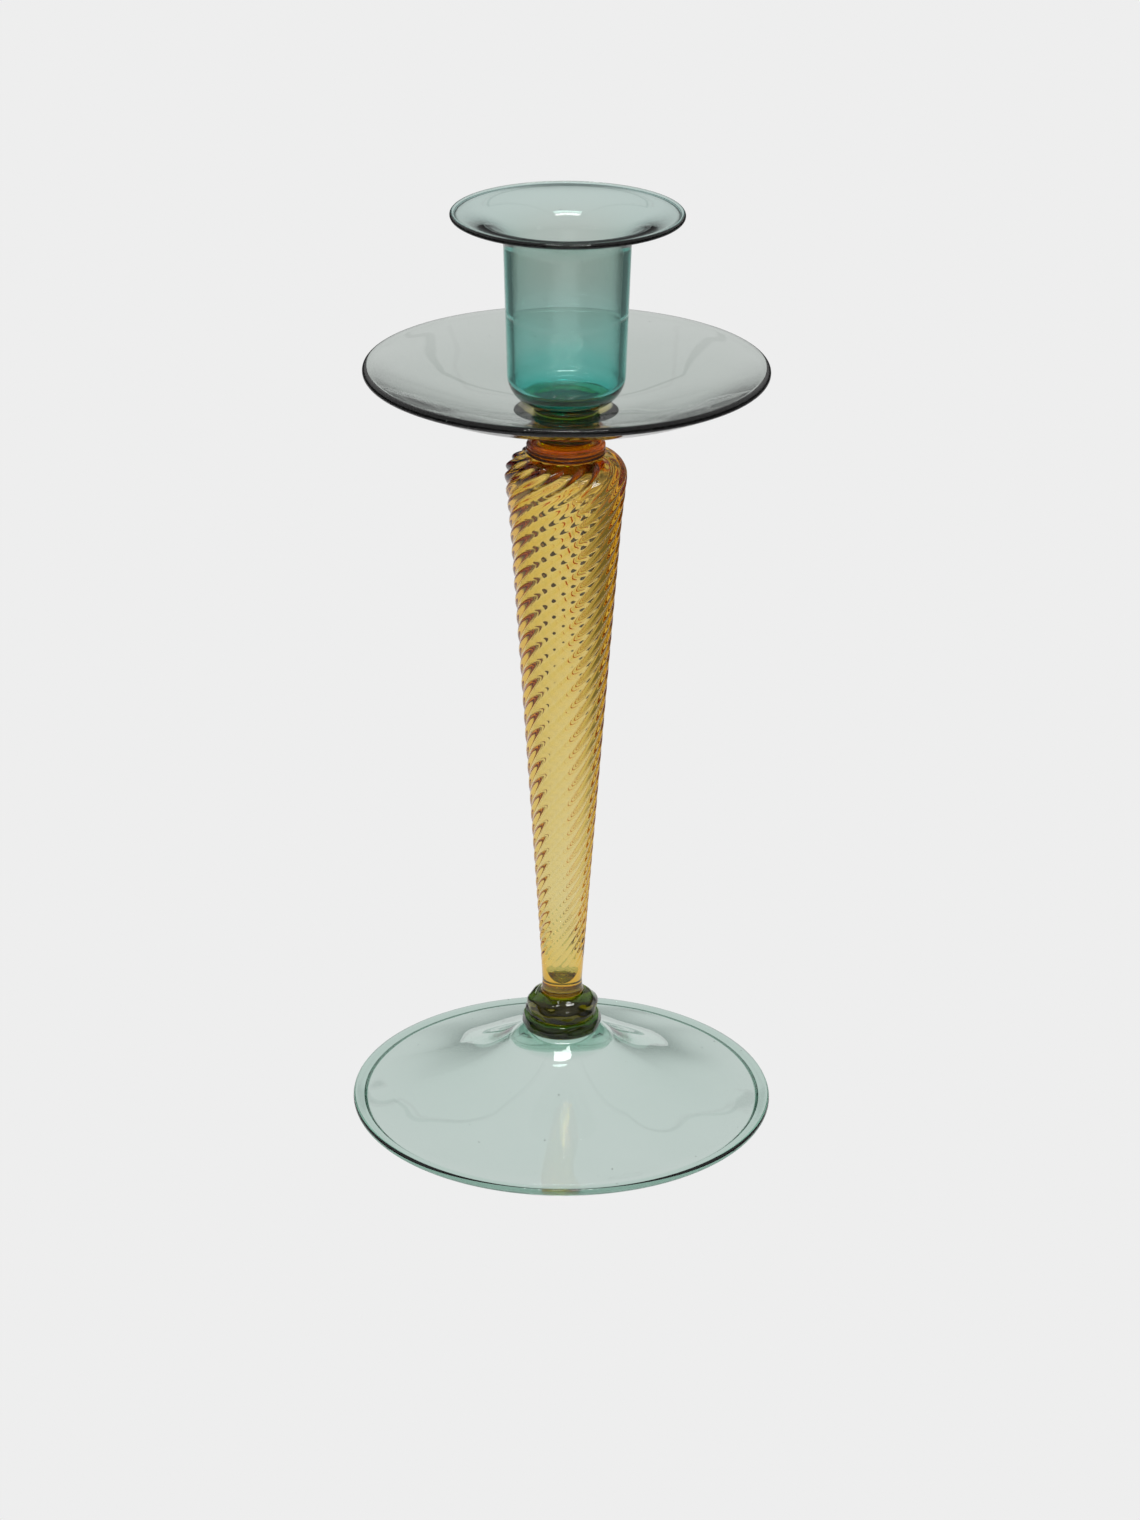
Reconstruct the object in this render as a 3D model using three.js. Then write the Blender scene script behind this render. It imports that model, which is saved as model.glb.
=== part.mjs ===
// Blown-glass candlestick: a hollow ribbed drop stem between a folded cone foot and a drip pan
// with a flared candle cup. Millimetres, +Z up, origin on the axis at the level of the table.
// Every piece is turned about the Z axis and stands on the flat face of the piece below it.
import * as THREE from 'three';

// ---- Driving dimensions -------------------------------------------------------------------

// Foot: a thin blown cone, open beneath, with its rim folded under into a thicker band.
const FOOT_RADIUS = 55.3;
const FOOT_HEIGHT = 21.3;
const FOOT_WALL = 2.0; // under the wafer
const FOOT_RIM_WALL = 1.3; // just inside the folded rim
const FOOT_SAG = 3.8; // how far the cone dips below a straight line
const FOOT_SAG_EASE = 0.35; // moves the deepest dip towards the wafer
const FOLD_WIDTH = 3.3;
const FOLD_HEIGHT = 2.0; // the outer edge is a round bead of this thickness
const FOLD_END_SLOPE = 0.2; // how far the end of the folded layer leans outwards

// Foot wafer: the button between foot and knop.
const WAFER_RADIUS = 10.4;
const WAFER_HEIGHT = 3.8;
const WAFER_BELLY = 0.4; // height of the widest point, as a share of the wafer
const WAFER_SEAT_RADIUS = 9.5; // flat top of the foot, which the wafer covers

// Knop: the solid squat ball under the stem.
const KNOP_RADIUS = 9.2;
const KNOP_HEIGHT = 6.1;
const KNOP_SEAT_RADIUS = 8.7; // flat top of the wafer, which the knop covers
const KNOP_BELLY = 0.32; // height of the widest point, as a share of the knop

// Stem: a long hollow drop, narrow at the knop and widest at its shoulder.
const STEM_HEIGHT = 149.2;
const STEM_FOOT_RADIUS = 5.6; // where it spreads onto the knop
const STEM_NARROW_RADIUS = 5.2;
const STEM_SHOULDER_RADIUS = 15.4;
const STEM_TOP_RADIUS = 9.4; // flat ring on top, which the collar covers
const STEM_SPREAD = 4.0; // length of the spread end
const STEM_BOW = 0.1; // how far the taper dips below a straight line, half way up
const SHOULDER_HEIGHT = 5.4; // from the widest point to the flat top
const SHOULDER_SWELL = 0.35; // extra radius gained just below the widest point
const SHOULDER_SWELL_LENGTH = 14;
const STEM_WALL_WIDE = 3.4; // at the shoulder
const STEM_WALL_NARROW = 1.5; // at the bottom, where the glass was drawn out
const STEM_SOLID_END = 8.5; // solid glass below the air bubble
const STEM_BORE_RADIUS = 4.5; // mouth of the bubble, closed by the collar
const RIB_COUNT = 16;
const RIB_LEAD = 62; // rise of a rib in one turn, right-handed
const RIB_DEPTH = 0.55;
const RIB_FADE_START = 9; // heights above the stem's end where the ribs start and reach full depth
const RIB_FADE_LENGTH = 24;
const RIB_SHOULDER_FADE = 3; // the ribs run out over this width beside the collar
const GROOVE_REACH = 0.1; // part of a rib's pitch, to each side of its middle, that the groove takes

// Collar: the ring laid on the stem's shoulder, and the waisted neck above it.
const COLLAR_RADIUS = 9.85;
const COLLAR_HEIGHT = 4.1;
const COLLAR_TOP_RADIUS = 7.3;
const NECK_HEIGHT = 3.9;
const NECK_WAIST_RADIUS = 6.6;
const NECK_TOP_RADIUS = 7.4;

// Pan wafer: the thin button under the drip pan.
const PAN_WAFER_RADIUS = 13.4;
const PAN_WAFER_FOOT_RADIUS = 9.0; // it tapers down to the neck
const PAN_WAFER_HEIGHT = 1.5;
const PAN_WAFER_EDGE = 0.3;

// Drip pan: a wide shallow dish.
const PAN_RADIUS = 50.5;
const PAN_RISE = 12.6; // underside of the flat middle to the middle of the rounded edge
const PAN_FLOOR = 1.8;
const PAN_EDGE_RADIUS = 0.9; // the fire-polished edge is a little round bead
const PAN_BELLY = 1.5; // how far the underside bulges below a straight line

// Candle cup and the button it stands on.
const SEAT_RADIUS = 8.2;
const SEAT_HEIGHT = 1.6;
const CUP_HEIGHT = 48.3; // to the middle of the rounded lip
const CUP_BASE_RADIUS = 14.75;
const CUP_NECK_RADIUS = 15.7; // just below the flare
const CUP_LIP_RADIUS = 28.8;
const CUP_CORNER_RADIUS = 8.0;
const CUP_FLARE_HEIGHT = 8.2;
const CUP_WALL = 1.9;
const CUP_FLOOR = 3.8;
const CUP_INNER_CORNER = 3.6;
const CUP_EDGE_RADIUS = 0.7;
const CUP_BEAD_RISE = 0.5; // how far the round lip stands above the thinner flare

// Facets: segments around the wide pieces, the buttons and the ribbed stem.
const WIDE_SEGMENTS = 40;
const BUTTON_SEGMENTS = 24;
const FACETS_PER_RIB = 3;

// ---- Heights of the joints between the pieces, from the table up ---------------------------

const waferBase = FOOT_HEIGHT;
const knopBase = waferBase + WAFER_HEIGHT;
const stemBase = knopBase + KNOP_HEIGHT;
const stemTop = stemBase + STEM_HEIGHT;
const neckBase = stemTop + COLLAR_HEIGHT;
const panWaferBase = neckBase + NECK_HEIGHT;
const panBase = panWaferBase + PAN_WAFER_HEIGHT;
const seatBase = panBase + PAN_FLOOR;
const cupBase = seatBase + SEAT_HEIGHT;

// ---- Glass colours -------------------------------------------------------------------------

function glass(color) {
  return new THREE.MeshStandardMaterial({ color, roughness: 0.05, metalness: 0 });
}

const aquaGlass = glass(0xb4c8c0);
const tealGlass = glass(0x5fa898);
const greenGlass = glass(0x4a5a1c);
const oliveGlass = glass(0x6e7c4a);
const amberGlass = glass(0xc8983a);
const paleAmberGlass = glass(0xd8bc78);

// ---- Outlines ------------------------------------------------------------------------------

const point = (radius, height) => new THREE.Vector2(radius, height);
const mix = (from, to, share) => from + (to - from) * share;

// A line of points from one share of a curve to another, the curve given as share -> point.
function along(curve, steps, from = 0, to = 1) {
  return Array.from({ length: steps + 1 }, (_, i) => curve(mix(from, to, i / steps)));
}

// How far a curve hangs below the straight line between its ends; its depth is at half way.
const dip = (depth, share) => depth * 4 * share * (1 - share);

// Part of an ellipse round a centre, angles in degrees from the outward direction.
function arc(centreRadius, centreHeight, width, height, fromDegrees, toDegrees, steps) {
  return along((share) => {
    const angle = THREE.MathUtils.degToRad(mix(fromDegrees, toDegrees, share));
    return point(centreRadius + width * Math.cos(angle), centreHeight + height * Math.sin(angle));
  }, steps);
}

// Turns an outline about Z. Outlines run from the axis below, outwards and up, back to the axis.
function turned(outline, segments) {
  const geometry = new THREE.LatheGeometry(outline, segments);
  const place = geometry.attributes.position;
  for (let i = 0; i < place.count; i++) {
    place.setXYZ(i, place.getX(i), -place.getZ(i), place.getY(i));
  }
  geometry.computeVertexNormals();
  return geometry;
}

// A button of glass: flat below and above, with a rounded side that is widest at its belly.
function buttonOutline(base, height, bottomRadius, widestRadius, topRadius, belly = 0.5) {
  const middle = base + height * belly;
  return [
    point(0, base),
    ...arc(bottomRadius, middle, widestRadius - bottomRadius, middle - base, -90, 0, 3),
    ...arc(topRadius, middle, widestRadius - topRadius, base + height - middle, 0, 90, 3).slice(1),
    point(0, base + height),
  ];
}

function footOutline() {
  const foldInner = FOOT_RADIUS - FOLD_WIDTH;
  const bead = FOLD_HEIGHT / 2;
  const cone = (share) => point(
    mix(foldInner, WAFER_SEAT_RADIUS, share),
    mix(FOLD_HEIGHT, FOOT_HEIGHT, share) - dip(FOOT_SAG, share) * (1 + share * FOOT_SAG_EASE),
  );
  const under = (share) => {
    const above = cone(share);
    return point(above.x, above.y - mix(FOOT_RIM_WALL, FOOT_WALL, share));
  };
  return [
    point(0, FOOT_HEIGHT - FOOT_WALL),
    ...along(under, 6, 1, 0),
    point(foldInner + FOLD_END_SLOPE, 0),
    ...arc(FOOT_RADIUS - bead, bead, bead, bead, -90, 90, 6),
    ...along(cone, 8),
    point(0, FOOT_HEIGHT),
  ];
}

// Radius of the stem's outside at a height above its end, before the ribs.
function stemRadius(height) {
  const widest = STEM_HEIGHT - SHOULDER_HEIGHT;
  const share = THREE.MathUtils.clamp((height - STEM_SPREAD) / (widest - STEM_SPREAD), 0, 1);
  const taper = mix(STEM_NARROW_RADIUS, STEM_SHOULDER_RADIUS - SHOULDER_SWELL, share);
  const swelling = THREE.MathUtils.smoothstep(height, widest - SHOULDER_SWELL_LENGTH, widest);
  const spread = Math.max(0, 1 - height / STEM_SPREAD) ** 2;
  return taper - dip(STEM_BOW, share) + SHOULDER_SWELL * swelling
    + (STEM_FOOT_RADIUS - STEM_NARROW_RADIUS) * spread;
}

// Radius of the stem's air bubble at a height above the stem's end.
function bubbleRadius(height) {
  const wall = mix(STEM_WALL_NARROW, STEM_WALL_WIDE, height / (STEM_HEIGHT - SHOULDER_HEIGHT));
  return stemRadius(height) - wall;
}

function stemOutline() {
  const widest = STEM_HEIGHT - SHOULDER_HEIGHT;
  const shoulder = stemBase + widest;
  const bubbleEnd = STEM_SOLID_END + STEM_NARROW_RADIUS;
  const bubbleCorner = SHOULDER_HEIGHT - STEM_WALL_WIDE;
  const onSide = (height) => point(stemRadius(height), stemBase + height);
  const onBubble = (height) => point(bubbleRadius(height), stemBase + height);
  return [
    point(0, stemBase),
    ...along(onSide, 3, 0, STEM_SPREAD),
    ...along(onSide, 36, STEM_SPREAD, widest).slice(1),
    ...arc(STEM_TOP_RADIUS, shoulder, STEM_SHOULDER_RADIUS - STEM_TOP_RADIUS, SHOULDER_HEIGHT, 0, 90, 5)
      .slice(1),
    point(STEM_BORE_RADIUS, stemTop),
    point(STEM_BORE_RADIUS, shoulder + bubbleCorner),
    ...arc(bubbleRadius(widest) - bubbleCorner, shoulder, bubbleCorner, bubbleCorner, 90, 0, 3),
    ...along(onBubble, 6, widest, bubbleEnd).slice(1),
    ...arc(0, stemBase + bubbleEnd, bubbleRadius(bubbleEnd), STEM_NARROW_RADIUS, 0, -90, 3).slice(1),
  ];
}

// Winds the stem into a right-handed twist and presses a groove between every two ribs.
function ribbed(geometry) {
  const place = geometry.attributes.position;
  const grooveEvery = (2 * Math.PI) / RIB_COUNT;
  for (let i = 0; i < place.count; i++) {
    const [x, y, z] = [place.getX(i), place.getY(i), place.getZ(i)];
    const height = z - stemBase;
    const radius = Math.hypot(x, y);
    const sideHeight = Math.min(height, STEM_HEIGHT - SHOULDER_HEIGHT);
    const outside = radius > (stemRadius(sideHeight) + bubbleRadius(sideHeight)) / 2
      || height > STEM_HEIGHT - STEM_WALL_WIDE / 2;
    const turn = (2 * Math.PI * height) / RIB_LEAD;
    const angle = Math.atan2(y, x);
    const phase = Math.abs(Math.round(angle / grooveEvery) - angle / grooveEvery);
    const fadeIn = THREE.MathUtils.smoothstep(height, RIB_FADE_START, RIB_FADE_START + RIB_FADE_LENGTH);
    const fadeOut = THREE.MathUtils.smoothstep(radius, STEM_TOP_RADIUS, STEM_TOP_RADIUS + RIB_SHOULDER_FADE);
    const inGroove = phase < GROOVE_REACH && outside ? 1 : 0;
    const onShoulder = height > STEM_HEIGHT - SHOULDER_HEIGHT ? fadeOut : 1;
    const depth = RIB_DEPTH * inGroove * fadeIn * onShoulder;
    place.setXY(i, (radius - depth) * Math.cos(angle + turn), (radius - depth) * Math.sin(angle + turn));
  }
  geometry.computeVertexNormals();
  return geometry;
}

function panOutline() {
  const edgeHeight = panBase + PAN_RISE;
  const edgeCentre = PAN_RADIUS - PAN_EDGE_RADIUS;
  const under = (share) => point(
    mix(PAN_WAFER_RADIUS, edgeCentre, share),
    mix(panBase, edgeHeight - PAN_EDGE_RADIUS, share) - dip(PAN_BELLY, share),
  );
  const above = (share) => point(
    mix(SEAT_RADIUS, edgeCentre, share),
    mix(seatBase, edgeHeight + PAN_EDGE_RADIUS, share) - dip(PAN_BELLY, share),
  );
  return [
    point(0, panBase),
    ...along(under, 6),
    ...arc(edgeCentre, edgeHeight, PAN_EDGE_RADIUS, PAN_EDGE_RADIUS, -90, 90, 4).slice(1),
    ...along(above, 6, 1, 0).slice(1),
    point(0, seatBase),
  ];
}

function panWaferOutline() {
  return [
    point(0, panWaferBase),
    point(PAN_WAFER_FOOT_RADIUS, panWaferBase),
    point(PAN_WAFER_RADIUS, panBase - PAN_WAFER_EDGE),
    point(PAN_WAFER_RADIUS, panBase),
    point(0, panBase),
  ];
}

function neckOutline() {
  const halfHeight = NECK_HEIGHT / 2;
  return [
    point(0, neckBase),
    ...arc(NECK_TOP_RADIUS, neckBase + halfHeight, NECK_WAIST_RADIUS - NECK_TOP_RADIUS, halfHeight,
      -90, 90, 5),
    point(0, panWaferBase),
  ];
}

function cupOutline() {
  const lipHeight = cupBase + CUP_HEIGHT;
  const lipCentre = CUP_LIP_RADIUS - CUP_EDGE_RADIUS;
  const flareBase = lipHeight - CUP_FLARE_HEIGHT;
  const floorHeight = cupBase + CUP_FLOOR;
  const cornerTop = cupBase + CUP_CORNER_RADIUS;
  const innerBase = CUP_BASE_RADIUS - CUP_WALL;
  const innerNeck = CUP_NECK_RADIUS - CUP_WALL;
  const flare = CUP_FLARE_HEIGHT - CUP_EDGE_RADIUS;
  const innerFlare = CUP_FLARE_HEIGHT + CUP_EDGE_RADIUS - CUP_BEAD_RISE;
  const innerCorner = innerBase - CUP_INNER_CORNER;
  return [
    point(0, cupBase),
    ...arc(CUP_BASE_RADIUS - CUP_CORNER_RADIUS, cornerTop, CUP_CORNER_RADIUS, CUP_CORNER_RADIUS, -90, 0, 5),
    ...arc(lipCentre, flareBase, lipCentre - CUP_NECK_RADIUS, flare, 180, 90, 6),
    ...arc(lipCentre, lipHeight, CUP_EDGE_RADIUS, CUP_EDGE_RADIUS, -90, 90, 4).slice(1),
    ...arc(lipCentre, flareBase, lipCentre - innerNeck, innerFlare, 90, 180, 6).slice(1),
    ...arc(innerCorner, floorHeight + CUP_INNER_CORNER, CUP_INNER_CORNER, CUP_INNER_CORNER, 0, -90, 3),
    point(0, floorHeight),
  ];
}

// ---- Assembly ------------------------------------------------------------------------------

const candlestick = new THREE.Group();

function addPiece(name, geometry, material) {
  const piece = new THREE.Mesh(geometry, material);
  piece.name = name;
  candlestick.add(piece);
}

function addButton(name, material, ...sizes) {
  addPiece(name, turned(buttonOutline(...sizes), BUTTON_SEGMENTS), material);
}

const ribbedStem = ribbed(turned(stemOutline(), RIB_COUNT * FACETS_PER_RIB));
const seatTopRadius = CUP_BASE_RADIUS - CUP_CORNER_RADIUS; // as wide as the cup's flat bottom
const seatBottomRadius = SEAT_RADIUS - SEAT_HEIGHT / 4;

addPiece('foot', turned(footOutline(), WIDE_SEGMENTS), aquaGlass);
addButton('foot_wafer', greenGlass, waferBase, WAFER_HEIGHT,
  WAFER_SEAT_RADIUS, WAFER_RADIUS, KNOP_SEAT_RADIUS, WAFER_BELLY);
addButton('knop', greenGlass, knopBase, KNOP_HEIGHT,
  KNOP_SEAT_RADIUS, KNOP_RADIUS, STEM_FOOT_RADIUS, KNOP_BELLY);
addPiece('stem', ribbedStem, paleAmberGlass);
addButton('stem_collar', amberGlass, stemTop, COLLAR_HEIGHT,
  STEM_TOP_RADIUS, COLLAR_RADIUS, COLLAR_TOP_RADIUS);
addPiece('neck', turned(neckOutline(), BUTTON_SEGMENTS), amberGlass);
addPiece('pan_wafer', turned(panWaferOutline(), BUTTON_SEGMENTS), amberGlass);
addPiece('drip_pan', turned(panOutline(), WIDE_SEGMENTS), aquaGlass);
addButton('cup_seat', oliveGlass, seatBase, SEAT_HEIGHT, seatBottomRadius, SEAT_RADIUS, seatTopRadius);
addPiece('candle_cup', turned(cupOutline(), WIDE_SEGMENTS), tealGlass);

export default candlestick;
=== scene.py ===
# %% [markdown]
# # A blown-glass candlestick
# Ten pieces of coloured glass, each gathered and shaped on its own and then fused hot to the next:
# a cone foot with a folded rim, a wafer and a knop of bottle green, a long hollow drop of amber with
# twisted ribs, a ring and a neck, a drip pan, and a teal cup with a wide flared lip. Glass has almost
# no colour of its own at the surface. What the eye reads is the light that comes through it, so this
# lesson is about true wall thickness, colour that soaks in with depth, and something pale and
# something dark around the object for the glass to bend.

# %% Load the frame
import math

import bpy
from mathutils import Matrix, Vector, noise


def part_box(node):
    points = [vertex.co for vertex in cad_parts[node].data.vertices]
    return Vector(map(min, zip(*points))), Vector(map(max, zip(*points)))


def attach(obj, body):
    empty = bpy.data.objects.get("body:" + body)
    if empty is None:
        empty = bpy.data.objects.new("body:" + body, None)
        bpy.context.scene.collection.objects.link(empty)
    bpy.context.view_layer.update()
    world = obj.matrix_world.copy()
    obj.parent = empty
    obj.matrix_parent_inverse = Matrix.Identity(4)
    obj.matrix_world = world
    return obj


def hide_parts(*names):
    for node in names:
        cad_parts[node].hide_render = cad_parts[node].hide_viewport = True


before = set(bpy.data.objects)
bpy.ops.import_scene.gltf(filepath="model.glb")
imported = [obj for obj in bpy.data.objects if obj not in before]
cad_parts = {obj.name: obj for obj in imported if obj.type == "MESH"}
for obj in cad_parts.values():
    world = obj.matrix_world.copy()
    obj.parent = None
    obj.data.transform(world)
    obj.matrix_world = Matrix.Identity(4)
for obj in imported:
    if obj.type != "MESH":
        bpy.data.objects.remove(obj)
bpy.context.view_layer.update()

MM = 0.001
print("nodes:", sorted(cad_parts))

# %% [markdown]
# ## Where each piece sits
# The design already says how high each piece stands and how wide it is, so nothing is placed by eye.
# Every piece is round about the Z axis, so three numbers describe its room: the height of its base,
# the height of its top and its largest radius.

# %% Room of each piece
class Room:
    """Base, top and largest radius of a node, in metres."""

    def __init__(self, node):
        low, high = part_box(node)
        self.base, self.top = low[2], high[2]
        self.radius = (high[0] - low[0]) / 2
        self.height = self.top - self.base


rooms = {node: Room(node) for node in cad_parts}
for node, room in sorted(rooms.items(), key=lambda item: item[1].base):
    levels = f"base {room.base / MM:6.1f}  top {room.top / MM:6.1f}"
    print(f"{node:12} {levels}  radius {room.radius / MM:5.1f} mm")

# %% [markdown]
# ## The camera
# A long lens about a metre away, above the candlestick and looking down at it, so that the rims open
# into ellipses. The real piece leans by less than half a degree, which a slight roll of the camera
# gives without bending the model.

# %% Camera
CAMERA_DISTANCE = 0.960
CAMERA_HEIGHT = 0.5114
CAMERA_ASIDE = 0.0016
LOOK_DOWN = math.radians(23.34)
ROLL = math.radians(0.45)
LENS = 96.3

camera_data = bpy.data.cameras.new("camera")
camera_data.sensor_fit = "VERTICAL"
camera_data.sensor_height = 36
camera_data.lens = LENS
camera = bpy.data.objects.new("camera", camera_data)
camera.location = (CAMERA_ASIDE, -CAMERA_DISTANCE, CAMERA_HEIGHT)
turn = Matrix.Rotation(math.pi / 2 - LOOK_DOWN, 3, "X") @ Matrix.Rotation(ROLL, 3, "Z")
camera.rotation_euler = turn.to_euler()
bpy.context.collection.objects.link(camera)
bpy.context.scene.camera = camera
print("camera", tuple(round(v, 3) for v in camera.location), "lens", LENS)

# %% [markdown]
# ## Shader maths in plain expressions
# A material is a graph of nodes, and graphs built by hand are hard to read. Here a small class wraps a
# socket so that `waves * 0.5 + 1` adds the Math nodes by itself. Everything else comes from one method
# that makes any node from its type, its settings and the values or links of its sockets.

# %% Sockets that can be added and multiplied
class Signal:
    """A number-valued socket that takes part in arithmetic."""

    def __init__(self, tree, socket):
        self.tree, self.socket = tree, socket

    def math(self, operation, *others):
        values = dict(enumerate((self, *others)))
        return self.tree.node("ShaderNodeMath", {"operation": operation}, values)

    def __add__(self, other):
        return self.math("ADD", other)

    def __mul__(self, other):
        return self.math("MULTIPLY", other)

    def __sub__(self, other):
        return self.math("SUBTRACT", other)

    def __rsub__(self, other):
        return (self * -1) + other

    __radd__ = __add__
    __rmul__ = __mul__


class NodeTree:
    """Builds nodes in one tree; every node comes from the one method below."""

    def __init__(self, nodes):
        self.nodes, self.links = nodes.nodes, nodes.links
        self.nodes.clear()

    def node(self, kind, settings=None, values=None, output=0):
        node = self.nodes.new(kind)
        for name, value in (settings or {}).items():
            setattr(node, name, value)
        for key, value in (values or {}).items():
            socket = node.inputs[key]
            if isinstance(value, Signal):
                self.links.new(value.socket, socket)
            else:
                socket.default_value = value
        return Signal(self, node.outputs[output]) if len(node.outputs) else node


print("node helpers:", Signal.__name__, "and", NodeTree.__name__)

# %% [markdown]
# ## The studio
# Glass shows its surroundings, so the studio is made of what the glass should bend and mirror. The
# piece stands on a lit sweep of floor, which falls off to both sides and far away; a painted shadow
# darkens it a little under the foot. The sky is nearly black at the horizon and grey higher up. Curved
# edges of glass pick up that dark and draw it as their outlines. A wide panel hangs overhead, and its
# thin dark edges show as fine lines in the foot and the pan. One rectangular softbox makes the small
# bright windows on every shoulder. The eye, looking past the glass, sees an even pale grey all round.

# %% What the eye sees and what the glass sees
PALE = 0.855  # what the eye sees
DARK = 0.03
WHITE = (1, 1, 1, 1)
SOFT_STEP = {"interpolation_type": "SMOOTHSTEP", "clamp": True}


def eye_or_glass(tree, seen_by_glass):
    """The strength of a backdrop: even for the eye, the lit room for the glass."""
    straight = tree.node("ShaderNodeLightPath", output="Is Camera Ray")
    return tree.node("ShaderNodeMix", {"data_type": "FLOAT"}, {0: straight, 2: seen_by_glass, 3: PALE})


print("backdrop for the eye:", PALE)

# %% [markdown]
# The sky is drawn from its direction alone. A direction of length one is as high as its Z, and the
# panel overhead is found by following the direction up to a height of one metre.

# %% Sky with a panel overhead
OVERHEAD = 0.52
OVERHEAD_FROM = 0.40  # height of a direction, from which the sky is evenly grey
LOWEST = 0.01  # keeps the division from running away at the horizon
PANEL_HALF = (0.42, 1.85)  # half width and half length, for a panel one metre up
PANEL_EDGE = (0.018, 0.045)  # where the dark of the edge ends, as a share of the half size


def make_sky():
    world = bpy.data.worlds.new("studio")
    world.use_nodes = True
    tree = NodeTree(world.node_tree)
    direction = tree.node("ShaderNodeTexCoord", output="Generated")
    parts = tree.nodes.new("ShaderNodeSeparateXYZ")
    tree.links.new(direction.socket, parts.inputs[0])
    x, y, height = (Signal(tree, socket) for socket in parts.outputs)
    room = tree.node("ShaderNodeMapRange", SOFT_STEP, {
        "Value": height, "From Min": 0.0, "From Max": OVERHEAD_FROM, "To Min": DARK, "To Max": OVERHEAD})
    above = height.math("MAXIMUM", LOWEST)
    sideways = x.math("ABSOLUTE").math("DIVIDE", above) * (1 / PANEL_HALF[0])
    lengthways = y.math("ABSOLUTE").math("DIVIDE", above) * (1 / PANEL_HALF[1])
    from_edge = (sideways.math("MAXIMUM", lengthways) - 1).math("ABSOLUTE")
    room = tree.node("ShaderNodeMapRange", SOFT_STEP, {
        "Value": from_edge, "From Min": PANEL_EDGE[0], "From Max": PANEL_EDGE[1],
        "To Min": DARK, "To Max": room})
    sky = tree.node("ShaderNodeBackground", None, {"Color": WHITE, "Strength": eye_or_glass(tree, room)})
    tree.node("ShaderNodeOutputWorld", None, {"Surface": sky})
    bpy.context.scene.world = world


make_sky()
print("sky:", bpy.context.scene.world.name)

# %% [markdown]
# The sweep is a plain square of floor that glows by itself, so the glass throws no real shadow on it;
# a painted shadow lowers its glow a little round the foot.
# The piece stands near the middle of the lit strip.

# %% Floor
FLOOR_SIZE = 6.0
FLOOR_DROP = 0.05 * MM  # keeps the floor clear of the ring that the foot stands on
TABLE_LIGHT = 0.72
# painted shadow: the floor glows less under the foot, as a contact shadow would make it
TABLE_SHADE = 0.69  # under the foot
TABLE_SHADE_REACH = (0.045, 0.085)  # metres from the axis
TABLE_EDGE = (0.95, 1.6)  # metres from the axis, where the floor falls off to the dark
SWEEP_HALF_WIDTH = (0.14, 0.38)  # metres to the side, where the lit strip falls off
SWEEP_ASIDE = -0.03
BESIDE_SWEEP = 0.17


def make_floor():
    half = FLOOR_SIZE / 2
    level = -FLOOR_DROP
    mesh = bpy.data.meshes.new("floor")
    corners = [(-half, -half, level), (half, -half, level), (half, half, level), (-half, half, level)]
    mesh.from_pydata(corners, [], [(0, 1, 2, 3)])
    floor = bpy.data.objects.new("floor", mesh)
    bpy.context.collection.objects.link(floor)
    material = bpy.data.materials.new("pale_sweep")
    material.use_nodes = True
    tree = NodeTree(material.node_tree)
    place = tree.node("ShaderNodeTexCoord", output="Object")
    away = tree.node("ShaderNodeVectorMath", {"operation": "LENGTH"}, {0: place}, output="Value")
    # painted shadow: near the axis, under the foot, the glow drops from TABLE_LIGHT to TABLE_SHADE
    table_with_painted_shadow = tree.node("ShaderNodeMapRange", SOFT_STEP, {
        "Value": away, "From Min": TABLE_SHADE_REACH[0], "From Max": TABLE_SHADE_REACH[1],
        "To Min": TABLE_SHADE, "To Max": TABLE_LIGHT})
    lit = tree.node("ShaderNodeMapRange", SOFT_STEP, {
        "Value": away, "From Min": TABLE_EDGE[0], "From Max": TABLE_EDGE[1],
        "To Min": table_with_painted_shadow, "To Max": DARK})
    aside = (tree.node("ShaderNodeSeparateXYZ", None, {0: place}, output="X") - SWEEP_ASIDE).math("ABSOLUTE")
    swept = tree.node("ShaderNodeMapRange", SOFT_STEP, {
        "Value": aside, "From Min": SWEEP_HALF_WIDTH[0], "From Max": SWEEP_HALF_WIDTH[1],
        "To Min": lit, "To Max": lit.math("MINIMUM", BESIDE_SWEEP)})
    glow = tree.node("ShaderNodeEmission", None, {"Color": WHITE, "Strength": eye_or_glass(tree, swept)})
    tree.node("ShaderNodeOutputMaterial", None, {"Surface": glow})
    mesh.materials.append(material)


make_floor()
print("floor:", FLOOR_SIZE, "m square")

# %% [markdown]
# The softbox hangs in front of the piece and above it, and points at the stem. Light has to cross many
# walls of glass before it comes out again, so the paths it may take are long.

# %% Softbox and light paths
SOFTBOX_SIZE = (0.50, 0.13)
SOFTBOX_PLACE = (0.0, -0.34, 1.05)
SOFTBOX_AIM = (0.0, 0.0, 0.10)
SOFTBOX_POWER = 2.8


def make_softbox():
    light = bpy.data.lights.new("softbox", "AREA")
    light.shape = "RECTANGLE"
    light.size, light.size_y = SOFTBOX_SIZE
    light.energy = SOFTBOX_POWER
    box = bpy.data.objects.new("softbox", light)
    box.location = SOFTBOX_PLACE
    aim = Vector(SOFTBOX_AIM) - Vector(SOFTBOX_PLACE)
    box.rotation_euler = aim.to_track_quat("-Z", "Y").to_euler()
    bpy.context.collection.objects.link(box)


make_softbox()
scene = bpy.context.scene
scene.view_settings.view_transform = "Standard"
scene.cycles.max_bounces = 40
scene.cycles.transmission_bounces = 40
scene.cycles.glossy_bounces = 16
scene.cycles.transparent_max_bounces = 16
print("softbox:", SOFTBOX_SIZE, "m at", SOFTBOX_PLACE)
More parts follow.
